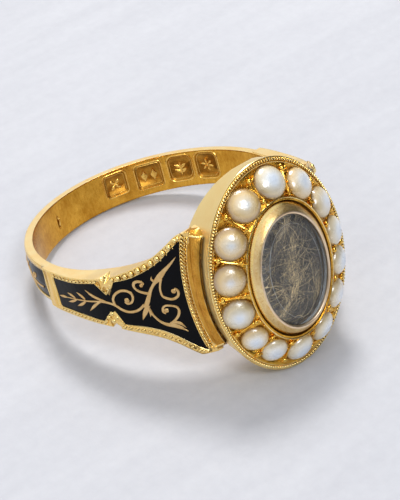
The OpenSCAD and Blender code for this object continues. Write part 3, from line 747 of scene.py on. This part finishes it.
for side, tag in ((-1, "left"), (1, "right")):
    P = shoulder(side)
    g = Geo()
    for pts, w in SCROLL:
        ribbon(g, P, pts, [q * 0.90 for q in w], 6, 0.0, -0.10, 0.014)
    for a, z, r in SPOTS:
        disc(g, P, float(s_of(a)), z, r)
    g.build(f"scroll_{tag}", [m_inlay], "gold")

    t = Geo()
    top = lambda s: min(float(at(angle_of(s), 2)), TOP_TIP)
    enl = lambda s: float(at(angle_of(s), 3))
    # bead row in the channel above the enamel, from the cusp to the tip
    run = steps(53.4, 29.2 if side < 0 else 32.0, 0.47)
    for i, s in enumerate(run):
        hi, lo = top(s) - 0.09, enl(s) + 0.07
        z, r = (hi + lo) / 2, np.clip((hi - lo) / 2, 0.13, 0.185) * rng.uniform(0.93, 1.04)
        # a flat dark bead under each bead paints the shade round it
        surface_bead(t, P, s, z, r + 0.055, r + 0.05, 0.05, 0, -0.015, m=1)
        surface_bead(t, P, s + rng.uniform(-.02, .02), z, r, r, r * 0.95, 0, 0.01, shape=BALL_FINE)
        if i + 1 < len(run):
            surface_bead(t, P, s + 0.235, lo + 0.05, 0.045, 0.045, 0.045, 0, 0.0)
            surface_bead(t, P, s + 0.235, hi - 0.04, 0.045, 0.045, 0.04, 0, 0.0)
    # bead rows beside the narrow part of the panel and along the lower edge
    for i, s in enumerate(steps(84.0, 60.8, 0.36)):
        z = enl(s) + 0.135
        # a flat dark bead under each bead paints the shade round it
        surface_bead(t, P, s + 0.02, z + 0.02, 0.135, 0.10, 0.035, 0, -0.012, m=1)
        surface_bead(t, P, s, z, 0.10, 0.085, 0.085, -0.4)
        surface_bead(t, P, s + 0.18, z + 0.09, 0.05, 0.04, 0.05, 0.5)
    for i, s in enumerate(steps(84.2, 61.6, 0.33)):
        z = -(enl(s) + 0.16)
        # a flat dark bead under each bead paints the shade round it
        surface_bead(t, P, s, z - 0.01, 0.19, 0.095, 0.03, 0.45, -0.012, m=1)
        surface_bead(t, P, s, z, 0.165, 0.07, 0.085, 0.5)
        surface_bead(t, P, s + 0.16, z - 0.10, 0.06, 0.045, 0.05, 0.5)
    for i, s in enumerate(steps(53.6, 30.4, 0.40)):
        z = -(min(top(s), LOW_TIP) + enl(s)) / 2
        # a flat dark bead under each bead paints the shade round it
        surface_bead(t, P, s, z - 0.01, 0.185, 0.115, 0.03, 0.25, -0.012, m=1)
        surface_bead(t, P, s, z, 0.15, 0.085, 0.09, 0.3)
        surface_bead(t, P, s + 0.2, z + 0.03, 0.05, 0.05, 0.04)
    # plain rims along both edges, and a fine line beside the enamel
    for up in (1, -1):
        lim = TOP_TIP if up > 0 else LOW_TIP
        ss = steps(92.2, 27.2 if up > 0 else 28.2, 0.12)
        keep = [s for s in ss if abs(angle_of(s) - 56.5) > 1.6]
        for part in (([s for s in keep if angle_of(s) > 56.5]), ([s for s in keep if angle_of(s) < 56.5])):
            zz = np.array([min(float(at(angle_of(s), 2)), lim) - 0.045 for s in part]) * up
            tube(t, P(np.array(part), zz, -0.025), 0.05, 8)
        for a0, a1 in ((84.9, 61.3), (53.2, 29.6)):
            part = steps(a0, a1, 0.12)
            zz = np.array([enl(s) + 0.035 for s in part]) * up
            tube(t, P(part, zz, -0.012), 0.026, 6)
    # cusps: a ridge down each side of the point, and small lobes on the lower one
    cz = float(at(57.5, 3)) - 0.88
    for up in (1, -1):
        for a0 in (61.2, 53.3):
            z0 = float(at(a0, 3))
            pts = np.linspace([float(s_of(a0)), z0], [float(s_of(57.4)), cz + 0.05], 12)
            tube(t, P(pts[:, 0], (pts[:, 1] + 0.04) * up, -0.012), 0.03, 6)
    for a, z, r in ((57.5, 0.74, .07), (58.5, 0.98, .065), (56.3, 1.02, .075), (59.6, 1.20, .065), (55.0, 1.30, .08), (57.4, -0.78, .16), (59.1, -1.06, .15),
                    (55.8, -1.06, .15), (57.4, -1.30, .15), (60.6, -1.36, .10), (54.4, -1.44, .11)):
        surface_bead(t, P, float(s_of(a)), z, r, r, r * 0.62, 0, -0.01)
    # divider bar at the hoop's side
    for a in (92.1, 86.0):
        zz = np.linspace(-1.30, 1.30, 24)
        tube(t, P(np.full(24, float(s_of(a))), zz, -0.02), 0.045, 8)
    # twisted rope along the fishtail's end, with a fine bead line and a plain edge
    for z in np.arange(-3.62, 4.00 if side < 0 else 3.80, 0.245):
        s = float(s_of(end_angle(z, lambda q: panel_end_y(q) - ROPE)))
        low = side > 0 and z > 2.9
        # a flat dark bead under each twist paints the shade between the twists
        surface_bead(t, P, s, z + 0.122, 0.30, 0.045, 0.02 if low else 0.03, math.radians(-57), -0.03 if low else -0.01, m=1)
        surface_bead(t, P, s, z, 0.26 if low else 0.315, 0.074, 0.05 if low else 0.12, math.radians(-57), -0.02 if low else 0.012)
    for i, z in enumerate(np.arange(-3.85, 4.15 if side < 0 else 3.6, 0.16)):
        s = float(s_of(end_angle(z, lambda q: end_y(q) + 0.105)))
        surface_bead(t, P, s, z, 0.085, 0.045, 0.03 if side > 0 and z > 2.9 else 0.05, 0.5 if i % 2 else -0.5, -0.015 if side > 0 and z > 2.9 else 0.0)
    zz = np.linspace(-3.95, 4.2 if side < 0 else 3.85, 60)
    edge = np.concatenate([P([float(s_of(end_angle(z, lambda q: end_y(q) + 0.02)))], z, -0.03) for z in zz])
    tube(t, edge, 0.05, 8)
    inner_line = np.concatenate([P([float(s_of(end_angle(z, lambda q: panel_end_y(q) - 0.012)))], z, -0.012) for z in np.linspace(-3.6, 3.95 if side < 0 else 3.7, 50)])
    tube(t, inner_line, 0.03, 6)
    # tip finials
    for a, z, r in ((28.4, 4.02, .17), (27.3, 4.08, .12), (29.7, 3.98, .13), (29.3, -3.86, .13)) if side < 0 else ((29.5, -3.82, .12),):
        surface_bead(t, P, float(s_of(a)), z, r, r * 0.8, r * 0.7, 0.7, 0.0)
    t.build(f"trim_{tag}", [m_trim, m_painted_shade], "gold")

    w = Geo()
    for y, pitch, r in ((-10.68, 0.15, 0.045), (-10.82, 0.15, 0.04), (-10.98, 0.15, 0.035)):
        for z in np.arange(-3.3, 3.85, pitch):
            zz = z + rng.uniform(-.02, .02)
            x = tail_xy(zz, y)
            bead(w, (side * x, y + rng.uniform(-.015, .015), zz), (0, 1, 0), (0, 0, 1), (side, 0, 0), r, r, 0.03)
    zz = np.linspace(-3.3, 3.9, 50)
    tube(w, [(side * (tail_xy(z, -10.50) + 0.0), -10.50 - 0.010 * z * z * 0.3, z) for z in zz], 0.03, 6)
    bar = Geo()
    pts = [(side * tail_xy(z, y), y, z) for y, z in zip(np.linspace(-10.02, -11.12, 9), np.linspace(4.10, 3.90, 9))]
    tube(bar, pts, 0.07, 8)
    pts = [(side * tail_xy(z, y), y, z) for y, z in zip(np.linspace(-10.02, -11.12, 9), np.linspace(-3.92, -3.42, 9))]
    tube(bar, pts, 0.07, 8)
    bar.build(f"end_bar_{tag}", [m_trim], "gold")
    w.build(f"stipple_{tag}", [m_amber], "gold")
    d = Geo()
    # a dark tube in the seam between tail and drum paints the shade in that crease
    tube(d, [(side * (HEAD_B - 0.004) * math.sqrt(1 - (z / HEAD_A) ** 2), -11.17, z) for z in np.linspace(-3.5, 3.9, 60)], 0.035, 6)
    d.build(f"seam_{tag}", [m_painted_shade], "gold")

# motif round the back band
b = Geo()
total = math.pi * BACK_R
inset, pitch = math.radians(7) * BACK_R, 2.9
count = int(round((total - 2 * inset) / pitch))
pitch = (total - 2 * inset) / count
for k in range(count):
    s0 = inset + k * pitch
    d = 1 if k % 2 else -1
    wave = [(s0, -.30 * d), (s0 + pitch * .25, -.05 * d), (s0 + pitch * .5, .30 * d), (s0 + pitch * .75, .36 * d), (s0 + pitch, .30 * d)]
    ribbon(b, back, wave, [.07, .08, .08, .07, .07], 8)
    c = s0 + pitch * .56
    a = np.linspace(-0.4, 4.3, 9)
    sp = [(c + (0.33 - 0.04 * i) * math.cos(x) * 1.0, -.26 * d + (0.33 - 0.04 * i) * math.sin(x) * d) for i, x in enumerate(a)]
    ribbon(b, back, sp, [.07, .08, .08, .08, .08, .07, .07, .06, .05], 5)
    disc(b, back, c, -.26 * d, .09)
    ribbon(b, back, [(s0 + pitch * .28, -.02 * d), (s0 + pitch * .14, .3 * d), (s0 + pitch * .22, .66 * d)], [.05, .12, .01], 6)
    ribbon(b, back, [(s0 + pitch * .40, .18 * d), (s0 + pitch * .34, .46 * d), (s0 + pitch * .46, .70 * d)], [.05, .10, .01], 6)
    ribbon(b, back, [(s0 + pitch * .05, -.28 * d), (s0 + pitch * .10, -.52 * d), (s0 + pitch * .22, -.72 * d)], [.05, .10, .01], 6)
b.build("scroll_back", [m_inlay], "gold")
# fine beads along both edges of the band
e = Geo()
for up in (1, -1):
    for s in np.arange(math.radians(4.5) * BACK_R, total - math.radians(4.5) * BACK_R, 0.20):
        surface_bead(e, back, s, up * 1.12, 0.085, 0.05, 0.05, 0.5 * up, -0.02)
e.build("trim_back", [m_trim], "gold")

# ---------------------------------------------------------------- head
h = Geo()
t_all = oval_walk(HEAD_A - 0.15, HEAD_B - 0.14, 0.20)
for t in t_all:
    c = np.array([(HEAD_B - 0.145) * math.cos(t), -(RIM_Y + 0.055), (HEAD_A - 0.155) * math.sin(t)])
    rad = unit([math.cos(t) / HEAD_B, -0.25, math.sin(t) / HEAD_A])
    tan = unit([-HEAD_B * math.sin(t), 0, HEAD_A * math.cos(t)])
    u = unit(rad * math.cos(0.5) + tan * math.sin(0.5))
    n = unit(np.cross(rad, tan))
    w = np.cross(n, u)
    bead(h, c, u, w, n, 0.15, 0.082, 0.105)
# a dark tube under the beads paints the shade between them
tube(h, np.stack([(HEAD_B - 0.145) * np.cos(np.linspace(0, 2 * math.pi, 240, endpoint=False)), np.full(240, -(RIM_Y + 0.045)),
                  (HEAD_A - 0.155) * np.sin(np.linspace(0, 2 * math.pi, 240, endpoint=False))], 1), 0.072, 8, True, m=1)
tt = np.linspace(0, 2 * math.pi, 240, endpoint=False)
tube(h, np.stack([(HEAD_B - 0.025) * np.cos(tt), np.full(240, -(RIM_Y - 0.03)), (HEAD_A - 0.025) * np.sin(tt)], 1), 0.052, 8, True)
tube(h, np.stack([(HEAD_B - 0.30) * np.cos(tt), np.full(240, -(RIM_Y + 0.085)), (HEAD_A - 0.31) * np.sin(tt)], 1), 0.03, 6, True)
h.build("milgrain", [m_trim, m_painted_shade], "gold")

c = Geo()
tube(c, np.stack([(LOCK_B + 0.235) * np.cos(tt), np.full(240, -(COLLAR_Y - 0.19)), (LOCK_A + 0.255) * np.sin(tt)], 1), 0.05, 8, True)
# a dark tube below the collar paints the shade in the groove before the lip
tube(c, np.stack([(LOCK_B + 0.115) * np.cos(tt), np.full(240, -(COLLAR_Y - 0.40)), (LOCK_A + 0.125) * np.sin(tt)], 1), 0.10, 8, True, m=1)
c.build("collar", [m_trim, m_painted_shade], "gold")


def pearl_frame(i):
    g, r = math.radians(PEARLS[i][0]), PEARLS[i][1]
    pf = math.atan2(math.sin(g) / PEARL_A, math.cos(g) / PEARL_B)
    m = (Matrix.Rotation(-pf, 3, "Y") @ Matrix.Rotation(math.pi / 2, 3, "X") @ Matrix.Rotation(SLOPE, 3, "Y"))
    return np.array([PEARL_B * math.cos(g), -PEARL_Y, PEARL_A * math.sin(g)]), np.array(m), r


gr = Geo()
for i in range(14):
    ctr, R, r = pearl_frame(i)
    # raised lip of metal pushed over each pearl's edge
    a = np.linspace(0, 2 * math.pi, 60, endpoint=False)
    wob = sum(np.sin(a * k + rng.uniform(0, 6.28)) * rng.uniform(.3, 1) for k in (3, 5, 8)) / 3
    rr = r + 0.035 + 0.012 * wob
    loc = np.stack([rr * np.cos(a), rr * np.sin(a), 0.0 + 0.03 * wob], 1)
    tube(gr, ctr + loc @ R.T, 0.042 + 0.010 * wob, 6, True, m=0)
    # grains between this pearl and the next
    j = (i + 1) % 14
    g0, g1 = PEARLS[i][0], PEARLS[j][0]
    d = (g1 - g0 + 540) % 360 - 180
    gm = math.radians(g0 + d / 2)
    cg, sg = math.cos(gm), math.sin(gm)
    tan = unit([-HEAD_B * sg, 0, HEAD_A * cg])
    for (aa, bb, fwd, size) in ((6.32, 4.82, 0.30, 0.215), (5.02, 3.66, 1.02, 0.185)):
        n = unit([cg * 0.6, -1, sg * 0.6])
        w = np.cross(n, tan)
        base = np.array([bb * cg, -(RIM_Y + fwd), aa * sg])
        k = size * rng.uniform(0.85, 1.12)
        mm = int(rng.random() < 0.75)
        bead(gr, base + tan * rng.uniform(-.04, .04), tan, w, n, k, k * 0.82, k * 0.85, mm, rng.random(), BALL)
        for q in range(4):
            t = rng.uniform(0, 6.28)
            d = tan * math.cos(t) + w * math.sin(t)
            u = unit(d + rng.uniform(-.8, .8) * np.cross(n, d))
            e = k * rng.uniform(0.30, 0.62)
            bead(gr, base + d * k * rng.uniform(0.75, 1.15) + n * rng.uniform(0, .06), u, np.cross(n, u), n, e * 1.25, e * 0.6, e * 0.75, int(rng.random() < 0.6))
    # ridges of metal left by the graver, from rim to collar
    mid = np.array([4.22 * cg, -(RIM_Y + 0.62), 5.64 * sg])
    o = np.array([4.98 * cg, -(RIM_Y + 0.16), 6.60 * sg])
    q = np.array([3.45 * cg, -(RIM_Y + 1.18), 4.82 * sg])
    tube(gr, spline([o, mid + tan * rng.uniform(-.05, .05), q], 6), 0.055, 6, m=1)
# bright cuts and burrs scattered over the metal between the pearls
for k in range(420):
    t = rng.uniform(0, 2 * math.pi)
    f = rng.uniform(0, 1)
    aa, bb = 6.75 - 2.0 * f, 5.05 - 1.72 * f
    base = np.array([bb * math.cos(t), -(RIM_Y + 0.03 + 1.14 * f), aa * math.sin(t)])
    near = min(np.linalg.norm((base - pearl_frame(q)[0])[[0, 2]]) - PEARLS[q][1] * 0.93 for q in range(14))
    if near < 0.0:
        continue
    tan = unit([-HEAD_B * math.sin(t), 0, HEAD_A * math.cos(t)])
    n = unit([math.cos(t) * 0.6, -1, math.sin(t) * 0.6])
    w = np.cross(n, tan)
    a = rng.uniform(0, 3.14)
    u = tan * math.cos(a) + w * math.sin(a)
    e = rng.uniform(0.03, 0.075)
    bead(gr, base, u, np.cross(n, u), n, e * 1.6, e * 0.7, e, int(rng.random() < 0.5))
gr.build("grains", [m_plate, m_grain], "gold")

for i in range(14):
    ctr, R, r = pearl_frame(i)
    r = r - 0.002
    prof = [(0.02, -0.24), (0.97, -0.25), (1.0, -0.22), (1.0, -0.10), (1.0, 0.0)]
    H = 0.56
    for q in np.linspace(0.04, 1, 22):
        t = q * math.pi / 2
        prof.append((math.cos(t), H * math.sin(t) ** 1.05))
    prof = prof[:-1] + [(0.012, H)]
    na = 44
    a = np.linspace(0, 2 * math.pi, na, endpoint=False)
    ph = rng.uniform(0, 6.28, 4)
    v, tone = [], []
    for k, (q, z) in enumerate(prof):
        up = max(z, 0) / H
        wob = 1 + up * (1 - up) * 0.035 * np.sin(2 * a + ph[0]) + up * (1 - up) * 0.02 * np.sin(3 * a + ph[1])
        hz = (z if z <= 0 else z) * r if z > -0.2 else z
        hz = np.full(na, z * r if z > 0 else z)
        v.append(np.stack([q * r * wob * np.cos(a), q * r * wob * np.sin(a), hz], 1))
        # tone: 1 at the dome's top, 0 at its edge and below; the pearl material paints its dark rim and pale highlight
        # from it
        tone.append(np.full(na, 0.0 if z <= 0 else 1 - q ** 1.25))
    g = Geo()
    k = len(prof)
    g.add(ctr + np.concatenate(v) @ R.T, grid(k, na, False, True) + [list(range(na)), list(range((k - 1) * na, k * na))[::-1]], 0, np.concatenate(tone))
    g.build(f"half_pearl_{i + 1:02d}", [pearl_material(i)], "pearl", [f"pearl_{i + 1:02d}"], 60)

# locket cup and lip
LIP = [(-0.28, 0.00), (-0.24, 0.02), (-0.20, 0.06), (-0.13, 0.13), (-0.04, 0.23), (0.04, 0.325), (0.11, 0.42), (0.17, 0.50),
       (0.22, 0.58), (0.26, 0.65), (0.29, 0.72), (0.312, 0.775), (0.32, 0.82), (0.318, 0.87), (0.31, 0.91), (0.295, 0.945), (0.27, 0.98), (0.20, 1.00)]
wa, wb = LOCK_A - CRY_A - GAP, LOCK_B - CRY_B - GAP
rows = [(COLLAR_Y - 2.30, 0.05, 0.05), (COLLAR_Y - 2.30, LOCK_A - 0.05, LOCK_B - 0.05), (COLLAR_Y - 2.25, LOCK_A, LOCK_B)]
rows += [(COLLAR_Y + y, LOCK_A - f * wa, LOCK_B - f * wb) for y, f in LIP]
rows += [(COLLAR_Y - 1.85, CRY_A + GAP, CRY_B + GAP), (COLLAR_Y - 1.85, 0.05, 0.05)]
g = Geo()
loft(g, rows, 200)
for q in range(7 * 200):
    g.m[q] = 1
for q in range(13 * 200, 21 * 200):
    g.m[q] = 2
g.build("bezel", [m_bezel, m_trim, m_crest], "bezel_gold", ["locket_bezel"], 50)

# bevelled crystal
rows = [(COLLAR_Y - 0.60, 0.05, 0.05), (COLLAR_Y - 0.60, CRY_A - 0.06, CRY_B - 0.06), (COLLAR_Y - 0.60, CRY_A - 0.02, CRY_B - 0.02), (COLLAR_Y - 0.58, CRY_A, CRY_B), (COLLAR_Y + 0.20, CRY_A, CRY_B)]
for y, k in ((0.215, 0.015), (0.25, 0.09), (0.285, 0.21), (0.32, 0.36), (0.338, 0.46), (0.348, 0.54), (0.356, 0.61),
             (0.366, 0.75), (0.382, 1.00), (0.402, 1.35), (0.418, 1.75), (0.427, 2.15), (0.43, 2.46)):
    rows.append((COLLAR_Y + y, CRY_A - k, CRY_B - k))
g = Geo()
loft(g, rows, 200)
nq = 200
for q in range((len(rows) - 1) * nq):
    g.m[q] = 1 if 3 * nq <= q < 4 * nq else 2 if 4 * nq <= q < 10 * nq else 0
deg = (np.degrees(tt) + 180) % 360 - 180
# width of the whitish ring along the bevel's edge, which paints its highlight; widest at the angles where the highlight
# falls
glint_width = sum(k * np.exp(-(((deg - at + 180) % 360 - 180) / wide) ** 2) for k, at, wide in ((0.019, 143, 17), (0.012, 172, 22), (0.014, -38, 17), (0.007, 10, 22)))
tube(g, np.stack([(CRY_B - 0.53) * np.cos(tt), np.full(240, -(COLLAR_Y + 0.346)), (CRY_A - 0.53) * np.sin(tt)], 1), 0.005 + glint_width, 6, True, m=3)
g.build("crystal_pane", [m_crystal, m_edge, m_bevel, m_arris_glint], "crystal", ["crystal"], 30)

# hair: a dark pad, painted shade beneath a loose layer of fine strands
rows = [(COLLAR_Y - 1.82, CRY_A - 0.02, CRY_B - 0.02), (COLLAR_Y - 0.95, CRY_A - 0.02, CRY_B - 0.02), (COLLAR_Y - 0.86, CRY_A - 0.06, CRY_B - 0.06),
        (COLLAR_Y - 0.80, CRY_A - 0.2, CRY_B - 0.2), (COLLAR_Y - 0.78, CRY_A - 0.9, CRY_B - 0.9)]
g = Geo()
loft(g, rows, 120)
g.build("hair_bed", [m_pad], "hair", ["hair_panel"], 50)
g = Geo()
locks = []
for k in range(70):
    while True:
        x, z = rng.uniform(-CRY_B, CRY_B), rng.uniform(-CRY_A, CRY_A)
        if (x / CRY_B) ** 2 + (z / CRY_A) ** 2 < 0.92:
            break
    main = rng.random() < 0.6
    streak = math.exp(-(((x - 0.05) * 0.87 - (z + 0.1) * 0.5) / 0.45) ** 2)
    locks.append((x, z, math.radians(rng.normal(60, 14)) if main else rng.uniform(0, math.pi), rng.normal(0, 0.4 if main else 1.1),
                  float(np.clip(rng.normal(0.30, 0.26) + 0.38 * streak - 0.10 * (x > 0.6) * (z > 0.6), 0, 1)), rng.uniform(0.0, 1.0)))
for k in range(2800):
    cx, cz, ang, bend, tone, level = locks[k % 70] if k < 2000 else (rng.uniform(-2.3, 2.3), rng.uniform(-3.3, 3.3), rng.uniform(0, math.pi), rng.normal(0, 1.2), rng.uniform(0, 1) ** 1.5, 1.0)
    x, z = cx + rng.normal(0, 0.16), cz + rng.normal(0, 0.16)
    if (x / (CRY_B - 0.12)) ** 2 + (z / (CRY_A - 0.12)) ** 2 > 1:
        continue
    ang += rng.normal(0, 0.13)
    bend += rng.normal(0, 0.25)
    ln = rng.uniform(1.0, 3.0)
    n = 9
    tt_ = np.linspace(-0.5, 0.5, n)
    aa = ang + bend * tt_
    px = x + np.concatenate([[0], np.cumsum(np.cos(aa[:-1]) * ln / n)]) - ln * 0.5 * math.cos(ang)
    pz = z + np.concatenate([[0], np.cumsum(np.sin(aa[:-1]) * ln / n)]) - ln * 0.5 * math.sin(ang)
    ok = (px / (CRY_B - 0.08)) ** 2 + (pz / (CRY_A - 0.08)) ** 2 < 1
    if ok.sum() < 3:
        continue
    run = np.where(ok)[0]
    run = np.arange(run[0], run[-1] + 1)
    if not ok[run].all():
        continue
    depth = COLLAR_Y - 0.79 + 0.13 * level + rng.uniform(-0.02, 0.02)
    tube(g, np.stack([px[run], np.full(len(run), -depth), pz[run]], 1), rng.uniform(0.006, 0.013), 4, m=0, a=float(np.clip(tone + rng.normal(0, 0.10), 0, 1)))
g.build("hair_strands", [m_strand], "hair", (), 80)

# enamel stays as built, with its own finish
for n in ("enamel_left", "enamel_right", "enamel_back"):
    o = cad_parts[n]
    o.data.materials.clear()
    o.data.materials.append(m_enamel)

# ---------------------------------------------------------------- floor, light, camera
me = bpy.data.meshes.new("floor")
me.from_pydata([(-1.5, -1.5, 0), (1.5, -1.5, 0), (1.5, 1.5, 0), (-1.5, 1.5, 0)], [], [(0, 1, 2, 3)])
floor = bpy.data.objects.new("floor", me)
bpy.context.scene.collection.objects.link(floor)
k = Mat("pale_floor")
tc = k.node("ShaderNodeTexCoord")
mp = k.node("ShaderNodeMapping", Vector=tc.outputs["Object"])
mp.inputs["Rotation"].default_value = (0, 0, math.radians(-28))
mp.inputs["Scale"].default_value = (60, 420, 1)
ns = k.node("ShaderNodeTexNoise", Vector=mp.outputs[0], Scale=1.0, Detail=5, Roughness=0.55)
big = k.node("ShaderNodeTexNoise", Vector=tc.outputs["Object"], Scale=35.0, Detail=3)
tooth = k.node("ShaderNodeTexNoise", Vector=tc.outputs["Object"], Scale=1300.0, Detail=4, Roughness=0.6)
mixv = k.mix(0.28, k.mix(0.5, ns.outputs["Fac"], big.outputs["Fac"]), tooth.outputs["Fac"])
k.set(k.bsdf, "Normal", k.bump(tooth.outputs["Fac"], 60e-6, 0.6))
k.set(k.bsdf, "Base Color", k.ramp(mixv, [(0.3, srgb(187, 188, 195)), (0.7, srgb(205, 206, 212))]))
k.bsdf.inputs["Roughness"].default_value = 0.75
me.materials.append(k.m)


def area(name, loc, target, size, power, colour=(1, 1, 1)):
    d = bpy.data.lights.new(name, "AREA")
    d.shape, d.size, d.size_y, d.energy, d.color = "RECTANGLE", size[0], size[1], power, colour
    o = bpy.data.objects.new(name, d)
    o.location = loc
    o.rotation_mode = "QUATERNION"
    o.rotation_quaternion = (Vector(target) - Vector(loc)).to_track_quat("-Z", "Y")
    bpy.context.scene.collection.objects.link(o)


mid = (0, 0, 0.006)
area("key", (0.08, 0.12, 0.27), mid, (0.08, 0.08), 0.58, (1.0, 0.99, 0.97))
area("front", (-0.05, -0.23, 0.27), mid, (0.11, 0.11), 0.44, (0.90, 0.95, 1.0))

world = bpy.data.worlds.new("studio")
bpy.context.scene.world = world
world.use_nodes = True
wt = world.node_tree
bg = next(n for n in wt.nodes if n.type == "BACKGROUND")
tc = wt.nodes.new("ShaderNodeTexCoord")
dot = wt.nodes.new("ShaderNodeVectorMath")
dot.operation = "DOT_PRODUCT"
wt.links.new(tc.outputs["Generated"], dot.inputs[0])
dot.inputs[1].default_value = (-0.45, 0.50, 0.74)
rp = wt.nodes.new("ShaderNodeValToRGB")
wt.links.new(dot.outputs["Value"], rp.inputs[0])
e = rp.color_ramp.elements
for x, (p, col) in zip((e[0], e[1], e.new(0.16), e.new(0.37), e.new(0.70)),
                       ((0.0, (0.07, 0.065, 0.06, 1)), (1.0, (1.0, 1.0, 1.0, 1)), (0.16, (0.16, 0.155, 0.15, 1)),
                        (0.37, (0.88, 0.88, 0.89, 1)), (0.70, (0.95, 0.95, 0.96, 1)))):
    x.position, x.color = p, col
wt.links.new(rp.outputs[0], bg.inputs[0])
bg.inputs[1].default_value = 0.84

AZ, EL, ROLL = math.radians(-32.280136), math.radians(25.282049), math.radians(-14.796938)
back_v = np.array([math.sin(AZ) * math.cos(EL), -math.cos(AZ) * math.cos(EL), math.sin(EL)])
right = unit(np.cross([0, 0, 1], back_v))
up = np.cross(back_v, right)
Rm = np.array([math.cos(ROLL) * right + math.sin(ROLL) * up, -math.sin(ROLL) * right + math.cos(ROLL) * up, back_v])
spot = Rm.T @ np.array([2.465165, -1.662561, 128.162586])
turn = np.array([[1, 0, 0], [0, CL, SL], [0, -SL, CL]])
M4 = np.eye(4)
M4[:3, :3] = (turn @ Rm.T)
M4[:3, 3] = to_row(spot)[0]
cam = bpy.data.cameras.new("camera")
cam.sensor_fit, cam.sensor_height, cam.sensor_width = "VERTICAL", 36, 36
cam.lens = 1926.7593 * 36 / 500
cam.clip_start, cam.clip_end = 0.005, 10
co = bpy.data.objects.new("camera", cam)
co.matrix_world = Matrix(M4.tolist())
bpy.context.scene.collection.objects.link(co)
bpy.context.scene.camera = co
bpy.context.scene.view_settings.view_transform = "Standard"
bpy.context.scene.view_settings.look = "None"
